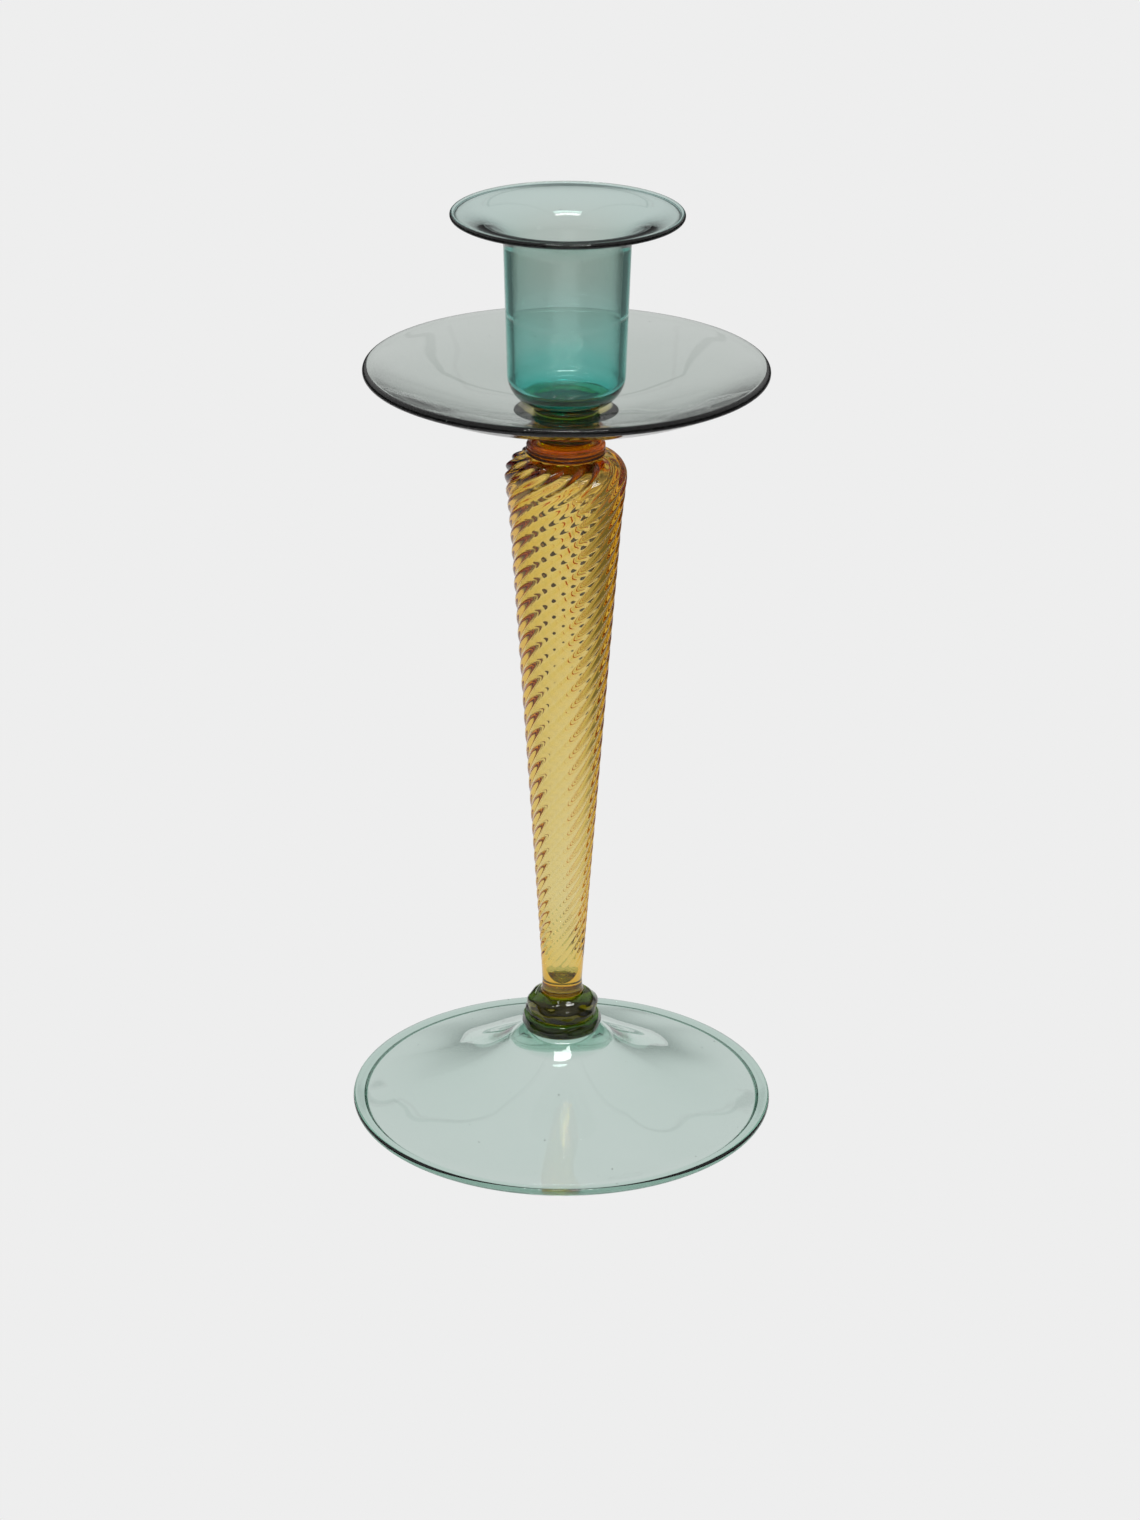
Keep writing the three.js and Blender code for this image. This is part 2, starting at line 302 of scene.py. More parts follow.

# %% [markdown]
# ## Glass that colours with depth
# Coloured glass is clear at its surface and takes its colour from the depth of glass the light crosses,
# so a thin wall is pale and a thick rim, seen end on, is nearly black. A volume absorption inside the
# piece does this by itself. `soak` is how strongly a metre of the glass takes out red, green and blue.
# A thin piece needs a stronger glass than a thick one to read as deep, so the thin button under the
# pan has a brown of its own. A ramp over the height makes the teal of the cup deep at the bottom and
# smoky at the neck. The surface is fire-polished: smooth, but with
# the slow waves of a hot gather, faint cords of slightly different glass and a trace of handling.

# %% Glass material
GLASS_IOR = 1.5
WAVE_SIZE = 14 * MM
WAVE_DEPTH = 0.02 * MM
RIPPLE_FINER = 5  # ripples to one wave
RIPPLE_SHARE = 0.12  # of the wave's depth
CORD_SCALE = (90, 90, 420)  # cords lie flat, because the gather was spun
CORD_TINT = (0.97, 0.979, 0.97, 1)
HANDLED_SCALE = 60.0
HANDLED_ROUGHNESS = 0.024
CUP_SHADES = [  # heights above the table in metres, and what a wall lets through there
    (0.1930, (0.35, 0.88, 0.86)), (0.1990, (0.62, 0.93, 0.92)), (0.2080, (1.0, 1.0, 1.0)),
    (0.2240, (0.96, 0.81, 0.79)), (0.2330, (1.0, 0.82, 0.79)), (0.2420, (1.0, 0.93, 0.91)),
]


def shade_ramp(tree, height, shades):
    """Colours that change with height, each stop at a height of its own."""
    low, high = shades[0][0], shades[-1][0]
    ramp = tree.nodes.new("ShaderNodeValToRGB")
    ramp.color_ramp.interpolation = "EASE"
    for index, (level, colour) in enumerate(shades):
        stop = (level - low) / (high - low)
        ends = index in (0, len(shades) - 1)
        mark = ramp.color_ramp.elements[-1 if index else 0] if ends else ramp.color_ramp.elements.new(stop)
        mark.position, mark.color = stop, (*colour, 1)
    tree.links.new(((height - low) * (1 / (high - low))).socket, ramp.inputs[0])
    return Signal(tree, ramp.outputs[0])


def blown_glass(name, soak, shades=None):
    material = bpy.data.materials.new(name)
    material.use_nodes = True
    tree = NodeTree(material.node_tree)
    place = tree.node("ShaderNodeTexCoord", output="Object")
    waves = tree.node("ShaderNodeTexNoise", None, {"Vector": place, "Scale": 1 / WAVE_SIZE, "Detail": 1.0})
    ripple = tree.node("ShaderNodeTexNoise", None, {
        "Vector": place, "Scale": RIPPLE_FINER / WAVE_SIZE, "Detail": 2.0})
    surface = waves + ripple * RIPPLE_SHARE
    bump = tree.node("ShaderNodeBump", None, {"Strength": 1.0, "Distance": WAVE_DEPTH, "Height": surface})
    stretched = tree.node("ShaderNodeMapping", None, {"Vector": place, "Scale": CORD_SCALE})
    cords = tree.node("ShaderNodeTexNoise", None, {"Vector": stretched, "Scale": 1.0, "Detail": 2.0})
    tint = tree.node("ShaderNodeMix", {"data_type": "RGBA"}, {0: cords, 6: WHITE, 7: CORD_TINT}, output=2)
    if shades:
        height = tree.node("ShaderNodeSeparateXYZ", None, {0: place}, output="Z")
        tint = tree.node("ShaderNodeMix", {"data_type": "RGBA", "blend_type": "MULTIPLY"},
                         {0: 1.0, 6: tint, 7: shade_ramp(tree, height, shades)}, output=2)
    touched = tree.node("ShaderNodeTexNoise", None, {"Vector": place, "Scale": HANDLED_SCALE, "Detail": 3.0})
    haze = (touched - 0.5).math("MAXIMUM", 0.0) * HANDLED_ROUGHNESS
    glass = tree.node("ShaderNodeBsdfPrincipled", None, {
        "Base Color": tint, "Roughness": haze, "Normal": bump,
        "IOR": GLASS_IOR, "Transmission Weight": 1.0})
    strength = max(soak)
    passed = tuple(1 - part / strength for part in soak)
    depth = tree.node("ShaderNodeVolumeAbsorption", None, {"Color": (*passed, 1), "Density": strength})
    tree.node("ShaderNodeOutputMaterial", None, {"Surface": glass, "Volume": depth})
    return material


glasses = {
    "aqua_glass": blown_glass("aqua_glass", (156, 66, 98)),
    "pan_glass": blown_glass("pan_glass", (108, 84, 98)),
    "teal_glass": blown_glass("teal_glass", (235, 66, 80), shades=CUP_SHADES),
    "green_glass": blown_glass("green_glass", (98, 104, 480)),
    "olive_glass": blown_glass("olive_glass", (130, 80, 260)),
    "amber_glass": blown_glass("amber_glass", (14, 86, 420)),
    "pale_amber_glass": blown_glass("pale_amber_glass", (12, 64, 300)),
    "brown_glass": blown_glass("brown_glass", (160, 250, 800)),
}
print("glasses:", ", ".join(glasses))

# %% [markdown]
# ## Drawing an outline
# An outline is a list of radius and height. Round stretches are arcs, and the rest are short formulas
# that run from one share of their length to another. Fused neighbours sink a hair into each other:
# light then passes from one colour to the next as it does in glass that has melted together.

# %% Outlines
FUSE = 0.05 * MM


def mix(start, end, share):
    return start + (end - start) * share


def smoothstep(value, low, high):
    share = min(max((value - low) / (high - low), 0.0), 1.0)
    return share * share * (3 - 2 * share)


def arc(centre, size, from_degrees, to_degrees, steps=16):
    """Part of an ellipse, its angles counted from the outward direction."""
    angles = [math.radians(mix(from_degrees, to_degrees, i / steps)) for i in range(steps + 1)]
    return [(centre[0] + size[0] * math.cos(a), centre[1] + size[1] * math.sin(a)) for a in angles]


def along(curve, steps, start=0.0, end=1.0):
    """Points of a curve, from one share of its length to another."""
    return [curve(mix(start, end, i / steps)) for i in range(steps + 1)]


print("a quarter round has", len(arc((0, 0), (1, 1), 0, 90)), "points")

# %% [markdown]
# ## Turning a piece
# A blown piece is shaped while it spins on the pipe, so its outline turned about the axis is the honest
# way to model it. The outline runs from the axis below, outwards, up and back to the axis, so that the
# faces point out of the glass. An air bubble inside is one more outline that runs the other way.

# %% Turning
ON_AXIS = 0.0001 * MM
SMALL_SEGMENTS = 256  # steps round a small piece; the wide ones have counts of their own


def turned_faces(outline, segments, first=0):
    """Vertices and faces of an outline turned about Z; points on the axis become one pole."""
    rings, places, faces = [], [], []
    for radius, height in outline:
        if radius < ON_AXIS:
            rings.append([first + len(places)] * segments)
            places.append((0.0, 0.0, height))
            continue
        rings.append([first + len(places) + j for j in range(segments)])
        for j in range(segments):
            angle = 2 * math.pi * j / segments
            places.append((radius * math.cos(angle), radius * math.sin(angle), height))
    for low, high in zip(rings, rings[1:]):
        for j in range(segments):
            k = (j + 1) % segments
            corners = [low[j], low[k], high[k], high[j]]
            faces.append(list(dict.fromkeys(corners)))
    return places, [face for face in faces if len(face) > 2]


def turned(name, outlines, segments=SMALL_SEGMENTS):
    """One closed piece from its outer outline and, after it, the outlines of its bubbles."""
    places, faces = [], []
    for outline in outlines:
        more_places, more_faces = turned_faces(outline, segments, len(places))
        places += more_places
        faces += more_faces
    mesh = bpy.data.meshes.new(name)
    mesh.from_pydata(places, [], faces)
    mesh.shade_smooth()
    piece = bpy.data.objects.new(name, mesh)
    bpy.context.collection.objects.link(piece)
    return piece


print("a small piece is turned in", SMALL_SEGMENTS, "steps")

# %% [markdown]
# ## Handwork
# No blown piece is perfectly round. `hand_worked` leaves the small unevenness of a hot tool on the side
# of a thick piece, and `undulate` lets a wide thin sheet rise and fall by a few tenths of a millimetre.
# Both read smooth noise at the place of each point, so the result is the same on every run.

# %% Handwork
CALM_EDGE = 0.6 * MM  # beside a flat joint, where a tool doesn't reach
SHEET_EASE = (5 * MM, 4 * MM)  # past the inner and before the outer radius of a free sheet


def hand_worked(piece, depth, size, offset, flatness=1.0):
    """Pushes the side of a piece in and out a little, as a hot tool leaves it; its flat joints stay."""
    heights = [vertex.co.z for vertex in piece.data.vertices]
    low, high = min(heights), max(heights)
    for vertex in piece.data.vertices:
        calm = smoothstep(min(vertex.co.z - low, high - vertex.co.z), 0.0, CALM_EDGE)
        spot = Vector((vertex.co.x, vertex.co.y, vertex.co.z * flatness)) / size
        push = noise.noise(spot + Vector((offset, 0, 0)))
        out = Vector((vertex.co.x, vertex.co.y, 0)).normalized()
        vertex.co += out * (push * depth * calm)


def undulate(piece, depth, size, reach, offset):
    """Lets a sheet of glass rise and fall gently between two radii; both its faces move together."""
    for vertex in piece.data.vertices:
        radius = vertex.co.xy.length
        free = smoothstep(radius, reach[0], reach[0] + SHEET_EASE[0])
        free *= 1 - smoothstep(radius, reach[1] - SHEET_EASE[1], reach[1])
        spot = Vector((vertex.co.x, vertex.co.y, 0)) / size
        vertex.co.z += depth * free * noise.noise(spot + Vector((0, 0, offset)))


print("a tool leaves the last", round(CALM_EDGE / MM, 2), "mm beside a joint alone")

# %% [markdown]
# ## Handing a piece over
# Each finished piece stands for one node of the design, whose own part is hidden, and keeps the slot
# of glass that it is given. Nothing on a candlestick moves, so every piece rides on the root.

# %% Glass, body, node and slot
def finish_piece(piece, node, glass):
    """Gives a piece its glass, hangs it on the root and hides the part of the design that it replaces."""
    if not piece.data.materials:
        piece.data.materials.append(glasses[glass])
    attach(piece, "root")
    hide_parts(node)
    print(f"{piece.name}: {len(piece.data.polygons)} faces")


print("pieces to finish:", len(rooms))

# %% [markdown]
# ## Seeds
# Hand-blown glass keeps a few tiny air bubbles, which glassmakers call seeds. They are strewn by
# Geometry Nodes: points on the upper faces of a piece, sunk half way into its wall, and a small ball
# at each. A ball of air inside glass is a shell whose faces look inwards, away from the glass.

# %% Seeds in Geometry Nodes
BALL_SEGMENTS, BALL_RINGS = 10, 6
MOSTLY_SMALL = 2.5  # the higher, the fewer large seeds


def seed_tree():
    group = bpy.data.node_groups.new("seeds", "GeometryNodeTree")
    face = group.interface
    face.new_socket("Geometry", in_out="INPUT", socket_type="NodeSocketGeometry")
    face.new_socket("Geometry", in_out="OUTPUT", socket_type="NodeSocketGeometry")
    sizes = {"Seeds per Square Metre": 1500.0, "Smallest": 0.08 * MM, "Largest": 0.24 * MM,
             "Depth": 0.6 * MM, "Facing Up": 0.2}
    for name, value in sizes.items():
        face.new_socket(name, in_out="INPUT", socket_type="NodeSocketFloat").default_value = value
    face.new_socket("Seed", in_out="INPUT", socket_type="NodeSocketInt").default_value = 7
    face.new_socket("Glass", in_out="INPUT", socket_type="NodeSocketMaterial")
    tree = NodeTree(group)
    inputs = group.nodes.new("NodeGroupInput")
    given = {socket.name: Signal(tree, socket) for socket in inputs.outputs if socket.name}
    normal = tree.node("GeometryNodeInputNormal")
    upward = tree.node("ShaderNodeSeparateXYZ", None, {0: normal}, output="Z")
    upper = upward.math("GREATER_THAN", given["Facing Up"])
    strewn = tree.node("GeometryNodeDistributePointsOnFaces", None, {
        "Mesh": given["Geometry"], "Selection": upper, "Density": given["Seeds per Square Metre"],
        "Seed": given["Seed"]})
    inward = tree.node("ShaderNodeVectorMath", {"operation": "SCALE"}, {
        0: Signal(tree, strewn.socket.node.outputs["Normal"]), "Scale": given["Depth"] * -1})
    sunk = tree.node("GeometryNodeSetPosition", None, {"Geometry": strewn, "Offset": inward})
    ball = tree.node("GeometryNodeMeshUVSphere", None, {
        "Segments": BALL_SEGMENTS, "Rings": BALL_RINGS, "Radius": 1.0})
    hollow = tree.node("GeometryNodeFlipFaces", None, {"Mesh": ball})
    chance = tree.node("FunctionNodeRandomValue", {"data_type": "FLOAT"}, {"Seed": given["Seed"]}, output=1)
    size = given["Smallest"] + (given["Largest"] - given["Smallest"]) * chance.math("POWER", MOSTLY_SMALL)
    placed = tree.node("GeometryNodeInstanceOnPoints", None, {
        "Points": sunk, "Instance": hollow, "Scale": size})
    air = tree.node("GeometryNodeRealizeInstances", None, {"Geometry": placed})
    join = group.nodes.new("GeometryNodeJoinGeometry")
    tree.links.new(given["Geometry"].socket, join.inputs[0])
    tree.links.new(air.socket, join.inputs[0])
    dressed = tree.node("GeometryNodeSetMaterial", None, {
        "Geometry": Signal(tree, join.outputs[0]), "Material": given["Glass"]})
    tree.node("NodeGroupOutput", None, {0: dressed})
    return group


seeds = seed_tree()
print("node tree:", seeds.name, "with", len(seeds.nodes), "nodes")

# %% [markdown]
# A node tree does its work inside a modifier. Its result is copied to a plain mesh and the modifier is
# taken off, so that each finished piece stands on its own.

# %% Keeping what a node tree made
def socket_name(group, title):
    """The identifier of a named input, which a modifier wants in place of its name."""
    return next(item.identifier for item in group.interface.items_tree
                if item.name == title and getattr(item, "in_out", "") == "INPUT")


def baked(piece, group, choices):
    """Runs a node tree on a piece and keeps the result as a plain mesh."""
    modifier = piece.modifiers.new(group.name, "NODES")
    modifier.node_group = group
    for title, value in choices.items():
        modifier[socket_name(group, title)] = value
    ready = piece.evaluated_get(bpy.context.evaluated_depsgraph_get())
    mesh = bpy.data.meshes.new_from_object(ready)
    piece.modifiers.remove(modifier)
    piece.data = mesh
    mesh.name = piece.name
    mesh.shade_smooth()
    return piece


print("inputs of the seeds:", [item.name for item in seeds.interface.items_tree])

# %% [markdown]
# ## The foot
# A thin cone of pale aqua glass, open beneath, whose rim was folded under while hot. The double layer
# reads as a brighter band with a fine dark line at its inner edge, where the fold ends. The cone dips
# most near the wafer, as hot glass does that hangs from its middle. Under the wafer it is a little
# thicker on the axis.

# %% Foot
FOOT_RIM_WALL = 1.3 * MM
FOOT_WALL = 2.0 * MM
FOOT_SAG = 3.8 * MM
FOOT_SAG_EASE = 0.35
FOLD_WIDTH = 3.3 * MM
FOLD_HEIGHT = 2.0 * MM
FOLD_END = 0.3 * MM  # radius at the end of the folded layer
FOLD_END_SLOPE = 0.2 * MM
FOLD_END_LEAN = 0.6  # how much of that slope lies above the end
WAFER_SEAT = 9.5 * MM
CROWN = 0.6 * MM  # extra thickness on the axis
CROWN_BEND = (3.0 * MM, 1.6 * MM)
CROWN_START = 0.93  # share of the cone at which its underside leaves the crown
FOOT_SEGMENTS = 512
FOOT_WAVES = (0.45 * MM, 17 * MM)  # depth and size


def foot_outline():
    room = rooms["foot"]
    fold_inner = room.radius - FOLD_WIDTH
    bead = (room.radius - FOLD_HEIGHT / 2, FOLD_HEIGHT / 2)

    def cone(share):
        dip = FOOT_SAG * 4 * share * (1 - share) * (1 + share * FOOT_SAG_EASE)
        return mix(fold_inner, WAFER_SEAT, share), mix(FOLD_HEIGHT, room.height, share) - dip

    def under(share):
        radius, height = cone(share)
        return radius, height - mix(FOOT_RIM_WALL, FOOT_WALL, share)

    crown_bend = (WAFER_SEAT / 2, room.height - FOOT_WALL - CROWN - CROWN_BEND[1])
    return [
        (0, room.height - FOOT_WALL - CROWN),
        *arc(crown_bend, CROWN_BEND, 90, 30, 5),
        *along(under, 40, CROWN_START, 0.0),
        (fold_inner + FOLD_END_SLOPE * FOLD_END_LEAN, FOLD_END),
        *arc((fold_inner + FOLD_END_SLOPE + FOLD_END, FOLD_END), (FOLD_END, FOLD_END), 190, 270, 5),
        *arc(bead, (FOLD_HEIGHT / 2, FOLD_HEIGHT / 2), -90, 90, 26),
        *along(cone, 48, 0.0, 1.0),
        (0, room.height),
    ]


foot = turned("foot", [foot_outline()], FOOT_SEGMENTS)
undulate(foot, *FOOT_WAVES, reach=(WAFER_SEAT, rooms["foot"].radius - FOLD_WIDTH), offset=3.1)
baked(foot, seeds, {"Glass": glasses["aqua_glass"], "Seeds per Square Metre": 2600.0, "Seed": 11})
finish_piece(foot, "foot", "aqua_glass")

# %% [markdown]
# ## Wafer and knop
# Two small gathers of bottle green. The wafer is a flat button; the knop is a squat ball. They are
# thick, so they look almost black where light crosses them the long way. Both were nipped with the
# jacks while they cooled, so their sides are far from round.

# %% Buttons of glass
KNOP_SEAT = 8.7 * MM
STEM_FOOT = 5.6 * MM
WAFER_BELLY = 0.4  # height of the widest point, as a share of the button
KNOP_BELLY = 0.32


def button_outline(node, bottom, top, belly=0.5):
    """A round-sided button between two flat joints of the given radii."""
    room = rooms[node]
    middle = room.base + room.height * belly
    return [
        (0, room.base - FUSE),
        *arc((bottom, middle), (room.radius - bottom, middle - room.base + FUSE), -90, 0, 14),
        *arc((top, middle), (room.radius - top, room.top - middle), 0, 90, 14)[1:],
        (0, room.top),
    ]


foot_wafer = turned("foot_wafer", [button_outline("foot_wafer", WAFER_SEAT, KNOP_SEAT, WAFER_BELLY)])
hand_worked(foot_wafer, depth=0.55 * MM, size=5 * MM, offset=4.2, flatness=2.2)
finish_piece(foot_wafer, "foot_wafer", "green_glass")
knop = turned("knop", [button_outline("knop", KNOP_SEAT, STEM_FOOT, KNOP_BELLY)])
hand_worked(knop, depth=0.95 * MM, size=5 * MM, offset=1.7, flatness=2.4)
finish_piece(knop, "knop", "green_glass")

# %% [markdown]
# ## The ribbed stem
# The stem was blown into a ribbed mould and then twisted as it was drawn down, so its ribs climb as
# right-handed screws: slack in the middle and tighter towards both ends. A rule like that is work for
# Geometry Nodes. The plain drop is turned first, with one column of points for each step round a rib.
# The node tree then winds the columns round the axis and presses a groove between every two ribs. The
# grooves fade out at the foot, deepen over the shoulder where the glass was drawn in, and end beside
# the ring that lies on it. The air bubble inside takes only a quarter of their depth.

# %% Plain drop
RIB_COUNT = 16
STEPS_PER_RIB = 12
STEM_NARROW = 5.2 * MM
STEM_SHOULDER = 15.4 * MM
STEM_TOP = 9.4 * MM
STEM_SPREAD = 4.0 * MM
STEM_BOW = 0.1 * MM
SHOULDER_HEIGHT = 5.4 * MM
SHOULDER_SWELL = 0.35 * MM
SHOULDER_SWELL_LENGTH = 14 * MM
STEM_WALL_NARROW = 1.5 * MM
STEM_WALL_WIDE = 3.4 * MM
STEM_FOOT_ROUND = (0.6 * MM, 0.7 * MM)
STEM_FOOT_TOP = 0.9 * MM
STEM_SOLID_END = 3.0 * MM  # solid glass below the air bubble
BUBBLE_CAP = 6.5 * MM  # length of the bubble's round end
BUBBLE_TAPER = 1.0 * MM  # how much the bubble draws in towards that end
BUBBLE_TAPER_END = 30 * MM
BUBBLE_RIBS = 0.25  # depth of the ribs on the bubble, as a share of those outside


def stem_radius(height):
    widest = rooms["stem"].height - SHOULDER_HEIGHT
    share = min(max((height - STEM_SPREAD) / (widest - STEM_SPREAD), 0.0), 1.0)
    taper = mix(STEM_NARROW, STEM_SHOULDER - SHOULDER_SWELL, share)
    swell = SHOULDER_SWELL * smoothstep(height, widest - SHOULDER_SWELL_LENGTH, widest)
    spread = max(0.0, 1 - height / STEM_SPREAD)
    return taper - STEM_BOW * 4 * share * (1 - share) + swell + (STEM_FOOT - STEM_NARROW) * spread ** 2


def stem_outlines():
    room = rooms["stem"]
    widest = room.height - SHOULDER_HEIGHT
    shoulder = (STEM_TOP, room.base + widest)
    bubble_foot = STEM_SOLID_END + BUBBLE_CAP

    def side(height):
        return stem_radius(height), room.base + height

    def bubble(height):
        wall = mix(STEM_WALL_NARROW, STEM_WALL_WIDE, height / widest)
        closing = BUBBLE_TAPER * (1 - smoothstep(height, STEM_SOLID_END, BUBBLE_TAPER_END))
        return stem_radius(height) - wall - closing, room.base + height

    foot_round = (STEM_FOOT - STEM_FOOT_ROUND[0], room.base + STEM_FOOT_ROUND[1])
    outer = [
        (0, room.base - FUSE),
        (foot_round[0], room.base - FUSE),
        *arc(foot_round, STEM_FOOT_ROUND, -70, 0, 5),
        *along(side, 5, STEM_FOOT_TOP, STEM_SPREAD),
        *along(side, 150, STEM_SPREAD, widest)[1:],
        *arc(shoulder, (STEM_SHOULDER - STEM_TOP, SHOULDER_HEIGHT), 0, 90, 18)[1:],
        (0, room.top),
    ]
    foot_of_bubble = bubble(bubble_foot)
    inner_shoulder = (STEM_SHOULDER - STEM_TOP - STEM_WALL_WIDE, SHOULDER_HEIGHT - STEM_WALL_WIDE)
    inner = [
        (0, room.top - STEM_WALL_WIDE),
        *arc(shoulder, inner_shoulder, 90, 0, 12),
        *along(bubble, 130, widest, bubble_foot)[1:],
        *arc((0, foot_of_bubble[1]), (foot_of_bubble[0], BUBBLE_CAP), 0, -90, 14)[1:],
    ]
    return outer, inner


stem_plain = turned("stem", stem_outlines(), RIB_COUNT * STEPS_PER_RIB)
wall_of = stem_plain.data.attributes.new("outside", "FLOAT", "POINT")
bubble_start = len(turned_faces(stem_outlines()[0], RIB_COUNT * STEPS_PER_RIB)[0])
for vertex in stem_plain.data.vertices:
    wall_of.data[vertex.index].value = 1.0 if vertex.index < bubble_start else BUBBLE_RIBS
print("plain drop:", len(stem_plain.data.vertices), "points, bubble from point", bubble_start)

# %% [markdown]
# The twist is written as a slope: slack in the middle, with a part added that grows with the square of
# the distance from there, and faster below than above. Summed over the height it gives the turn of each
# point. The groove is read from the unturned angle, so each column of points keeps its place across a
# rib while it winds up the stem.

# %% Twisted ribs in Geometry Nodes
RING_FADE = 1.2 * MM  # the grooves run out over this width beside the ring
TOP_BAND = (6 * MM, 5 * MM)  # depths below the top, between which that fade sets in
SHOULDER_BAND = (11 * MM, 4 * MM)  # depths below the top, between which the grooves deepen


def rib_tree():
    group = bpy.data.node_groups.new("twisted_ribs", "GeometryNodeTree")
    face = group.interface
    face.new_socket("Geometry", in_out="INPUT", socket_type="NodeSocketGeometry")
    face.new_socket("Geometry", in_out="OUTPUT", socket_type="NodeSocketGeometry")
    sizes = {"Base Height": rooms["stem"].base, "Height": rooms["stem"].height, "Rib Count": RIB_COUNT,
             "Groove Depth": 0.66 * MM, "Shoulder Grooves": 0.9, "Roundness": 1.4,
             "Slack Twist": 84.0, "Tightening Below": 13500.0, "Tightening Above": 4000.0,
             "Slack Height": 77 * MM, "Fade Start": 7 * MM, "Fade Length": 10 * MM,
             "Top Radius": STEM_TOP, "Widest Radius": STEM_SHOULDER}
    for name, value in sizes.items():
        socket = face.new_socket(name, in_out="INPUT", socket_type="NodeSocketFloat")
        socket.default_value = value
    face.new_socket("Glass", in_out="INPUT", socket_type="NodeSocketMaterial")
    tree = NodeTree(group)
    inputs = group.nodes.new("NodeGroupInput")
    given = {socket.name: Signal(tree, socket) for socket in inputs.outputs if socket.name}
    place = tree.node("GeometryNodeInputPosition")
    parts = group.nodes.new("ShaderNodeSeparateXYZ")
    group.links.new(place.socket, parts.inputs[0])
    x, y, z = (Signal(tree, socket) for socket in parts.outputs)
    height = z - given["Base Height"]
    radius = (x * x + y * y).math("SQRT")
    angle = y.math("ARCTAN2", x)
    # Twist: slack * height, plus the integral of tightening * (height - slack height) squared.
    off = height - given["Slack Height"]
    below, above = off.math("MINIMUM", 0.0), off.math("MAXIMUM", 0.0)
    tighter_below = below * below * below * given["Tightening Below"]
    tighter_above = above * above * above * given["Tightening Above"]
    turn = height * given["Slack Twist"] + (tighter_below + tighter_above) * (1 / 3)
    # Groove: a narrow valley between broad round ribs.
    ridge = (angle * given["Rib Count"] * 0.5).math("SINE").math("ABSOLUTE")
    valley = 1 - ridge.math("POWER", given["Roundness"])
    fade_in = tree.node("ShaderNodeMapRange", SOFT_STEP, {
        "Value": height, "From Min": given["Fade Start"],
        "From Max": given["Fade Start"] + given["Fade Length"]})
    off_ring = tree.node("ShaderNodeMapRange", SOFT_STEP, {
        "Value": radius, "From Min": given["Top Radius"], "From Max": given["Top Radius"] + RING_FADE})
    high_up = tree.node("ShaderNodeMapRange", None, {
        "Value": height, "From Min": given["Height"] - TOP_BAND[0],
        "From Max": given["Height"] - TOP_BAND[1]})
    beside_ring = 1 - high_up * (1 - off_ring)
    on_shoulder = tree.node("ShaderNodeMapRange", SOFT_STEP, {
        "Value": height, "From Min": given["Height"] - SHOULDER_BAND[0],
        "From Max": given["Height"] - SHOULDER_BAND[1],
        "To Min": 1.0, "To Max": given["Shoulder Grooves"] + 1})
    outside = tree.node("GeometryNodeInputNamedAttribute", {"data_type": "FLOAT"}, {"Name": "outside"})
    size = radius.math("DIVIDE", given["Widest Radius"]) * on_shoulder
    depth = valley * given["Groove Depth"] * size * fade_in * beside_ring * outside
    pressed = radius - depth
    swung = angle + turn
    moved = tree.node("ShaderNodeCombineXYZ", None, {
        "X": pressed * swung.math("COSINE"), "Y": pressed * swung.math("SINE"), "Z": z})
    shaped = tree.node("GeometryNodeSetPosition", None, {"Geometry": given["Geometry"], "Position": moved})
    solid = tree.node("GeometryNodeRealizeInstances", None, {"Geometry": shaped})
    dressed = tree.node("GeometryNodeSetMaterial", None, {"Geometry": solid, "Material": given["Glass"]})
    tree.node("NodeGroupOutput", None, {0: dressed})
    return group


stem = baked(stem_plain, rib_tree(), {"Glass": glasses["pale_amber_glass"]})
finish_piece(stem, "stem", "pale_amber_glass")

# %% [markdown]
# ## Collar, neck and pan wafer
# A ring of hot amber was laid on the shoulder, drawn up to a short neck and closed with a thin button
# that carries the pan. The jacks left fine rings on ring and neck while the piece was spinning. The
# button is thin and wide and carries the brown glass.

# %% Collar, neck and pan wafer
COLLAR_TOP = 7.3 * MM
NECK_END = 7.4 * MM
NECK_WAIST = 6.6 * MM
PAN_WAFER_FOOT = 9.0 * MM
PAN_WAFER_BEND = (0.5, 0.36)  # shares of its width and height at which the side turns outwards
PAN_WAFER_SLOPE = (0.25 * MM, 0.3 * MM)
PAN_WAFER_ROUND = 0.1 * MM
TOOL_RINGS = 0.14 * MM
TOOL_PITCH = 1.05 * MM


def ringed(outline):
    """Fine rings on an outline, as the jacks leave them on a spinning piece."""
    rings = []
    for radius, height in outline:
        swell = TOOL_RINGS * math.sin(2 * math.pi * height / TOOL_PITCH)
        rings.append((max(radius + swell, 0) if radius > 0 else 0, height))
    return rings


def neck_outline():
    room = rooms["neck"]
    middle = (room.base + room.top) / 2
    return [
        (0, room.base - FUSE),
        *arc((NECK_END, middle), (NECK_WAIST - NECK_END, room.height / 2 + FUSE), -90, 90, 24),
        (0, room.top + FUSE),
    ]


def pan_wafer_outline():
    room = rooms["pan_wafer"]
    return [
        (0, room.base),
        (PAN_WAFER_FOOT, room.base),
        (mix(PAN_WAFER_FOOT, room.radius, PAN_WAFER_BEND[0]), mix(room.base, room.top, PAN_WAFER_BEND[1])),
        (room.radius - PAN_WAFER_SLOPE[0], room.top - PAN_WAFER_SLOPE[1]),
        (room.radius, room.top - PAN_WAFER_ROUND),
        (room.radius - PAN_WAFER_ROUND, room.top),
        (0, room.top),
    ]


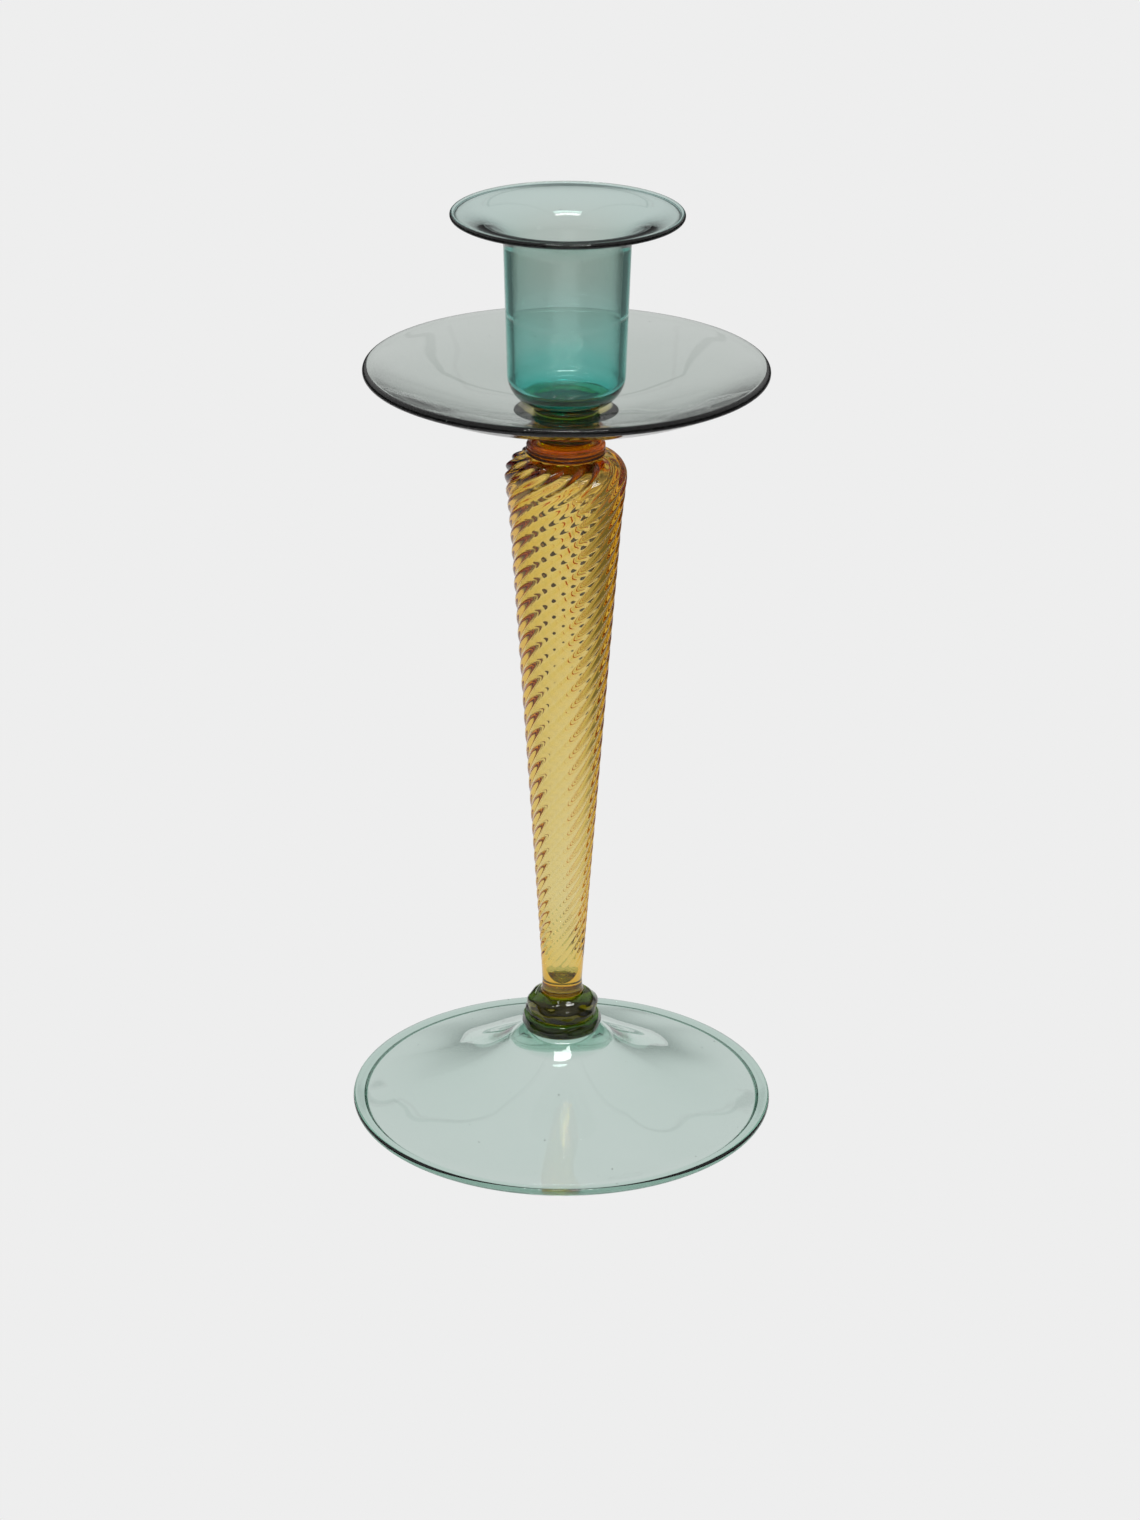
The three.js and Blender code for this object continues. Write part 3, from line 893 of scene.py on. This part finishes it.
stem_collar = turned("stem_collar", [ringed(button_outline("stem_collar", STEM_TOP, COLLAR_TOP))])
hand_worked(stem_collar, depth=0.25 * MM, size=4 * MM, offset=7.9)
finish_piece(stem_collar, "stem_collar", "amber_glass")
neck = turned("neck", [ringed(neck_outline())])
hand_worked(neck, depth=0.15 * MM, size=4 * MM, offset=2.3)
finish_piece(neck, "neck", "amber_glass")
pan_wafer = turned("pan_wafer", [pan_wafer_outline()])
hand_worked(pan_wafer, depth=0.3 * MM, size=7 * MM, offset=5.1)
finish_piece(pan_wafer, "pan_wafer", "brown_glass")

# %% [markdown]
# ## The drip pan
# A wide shallow dish that was spun open. Its edge was melted round in the flame, and seen end on the
# edge gathers the light of the whole sheet, which is why it draws a near-black line.

# %% Drip pan
PAN_FLOOR = 1.8 * MM
PAN_EDGE = 1.05 * MM
PAN_BELLY = 1.5 * MM  # how far the sheet hangs below a straight line
PAN_JOIN = 0.985  # share of the width at which both faces run into the round edge
PAN_WAFER_LAP = 1.5 * MM  # the flat middle ends this far inside the button below
PAN_SEGMENTS = 448
PAN_WAVES = (0.35 * MM, 15 * MM)  # depth and size
SEAT = rooms["cup_seat"].radius
WAFER = rooms["pan_wafer"].radius


def pan_outline():
    room = rooms["drip_pan"]
    edge = (room.radius - PAN_EDGE, room.top - PAN_EDGE)

    def under(share):
        radius = mix(WAFER, edge[0], share)
        return radius, mix(room.base, edge[1] - PAN_EDGE, share) - PAN_BELLY * 4 * share * (1 - share)

    def above(share):
        radius = mix(SEAT, edge[0], share)
        height = mix(room.base + PAN_FLOOR, edge[1] + PAN_EDGE, share)
        return radius, height - PAN_BELLY * 4 * share * (1 - share)

    return [
        (0, room.base - FUSE),
        (WAFER - PAN_WAFER_LAP, room.base - FUSE),
        *along(under, 60, 0.0, PAN_JOIN),
        *arc(edge, (PAN_EDGE, PAN_EDGE), -72, 105, 20),
        *along(above, 70, PAN_JOIN, 0.0),
        (0, room.base + PAN_FLOOR),
    ]


drip_pan = turned("drip_pan", [pan_outline()], PAN_SEGMENTS)
undulate(drip_pan, *PAN_WAVES, reach=(SEAT, rooms["drip_pan"].radius - PAN_EDGE), offset=8.4)
baked(drip_pan, seeds, {"Glass": glasses["pan_glass"], "Depth": 0.8 * MM, "Seed": 5})
finish_piece(drip_pan, "drip_pan", "pan_glass")

# %% [markdown]
# ## Seat and candle cup
# The cup is a thick-bottomed bubble that was opened and flared. Its floor is heavy, its corner is
# round, and the lip opens like a trumpet to a round fire-polished edge. It stands on a small button of
# olive glass, which is as wide as the flat of the cup at its top.

# %% Seat and candle cup
CUP_BASE = 14.75 * MM
CUP_NECK = 15.7 * MM
CUP_CORNER = 8.0 * MM
CUP_FLARE = 8.2 * MM
CUP_WALL = 1.9 * MM
CUP_FLOOR = 3.8 * MM
CUP_INNER_CORNER = 3.6 * MM
CUP_EDGE = 0.7 * MM
CUP_BEAD = 0.3 * MM  # how far the lip stands above the flare inside it
CUP_SEGMENTS = 320


def cup_outline():
    room = rooms["candle_cup"]
    lip = (room.radius - CUP_EDGE, room.top - CUP_EDGE)
    flare_base = lip[1] - CUP_FLARE
    corner = (CUP_BASE - CUP_CORNER, room.base + CUP_CORNER)
    inner_corner = (CUP_BASE - CUP_WALL - CUP_INNER_CORNER, room.base + CUP_FLOOR + CUP_INNER_CORNER)
    inner_neck = CUP_NECK - CUP_WALL

    def outside(share):
        return mix(CUP_BASE, CUP_NECK, share), mix(corner[1], flare_base, share)

    def inside(share):
        return mix(CUP_BASE - CUP_WALL, inner_neck, share), mix(inner_corner[1], flare_base, share)

    return [
        (0, room.base - FUSE),
        *arc(corner, (CUP_CORNER, CUP_CORNER + FUSE), -90, 0, 28),
        *along(outside, 30)[1:-1],
        *arc((lip[0], flare_base), (lip[0] - CUP_NECK, CUP_FLARE - CUP_EDGE), 180, 93, 40),
        *arc(lip, (CUP_EDGE, CUP_EDGE), -85, 130, 20),
        *arc((lip[0], flare_base), (lip[0] - inner_neck, CUP_FLARE + CUP_EDGE - CUP_BEAD), 95, 180, 44),
        *along(inside, 30, 1.0, 0.0)[1:-1],
        *arc(inner_corner, (CUP_INNER_CORNER, CUP_INNER_CORNER), 0, -90, 24),
        (0, room.base + CUP_FLOOR),
    ]


seat_foot = SEAT - rooms["cup_seat"].height / 4
cup_seat = turned("cup_seat", [button_outline("cup_seat", seat_foot, CUP_BASE - CUP_CORNER)])
finish_piece(cup_seat, "cup_seat", "olive_glass")
candle_cup = turned("candle_cup", [cup_outline()], CUP_SEGMENTS)
baked(candle_cup, seeds, {"Glass": glasses["teal_glass"], "Depth": 0.9 * MM, "Facing Up": -0.5, "Seed": 23})
finish_piece(candle_cup, "candle_cup", "teal_glass")
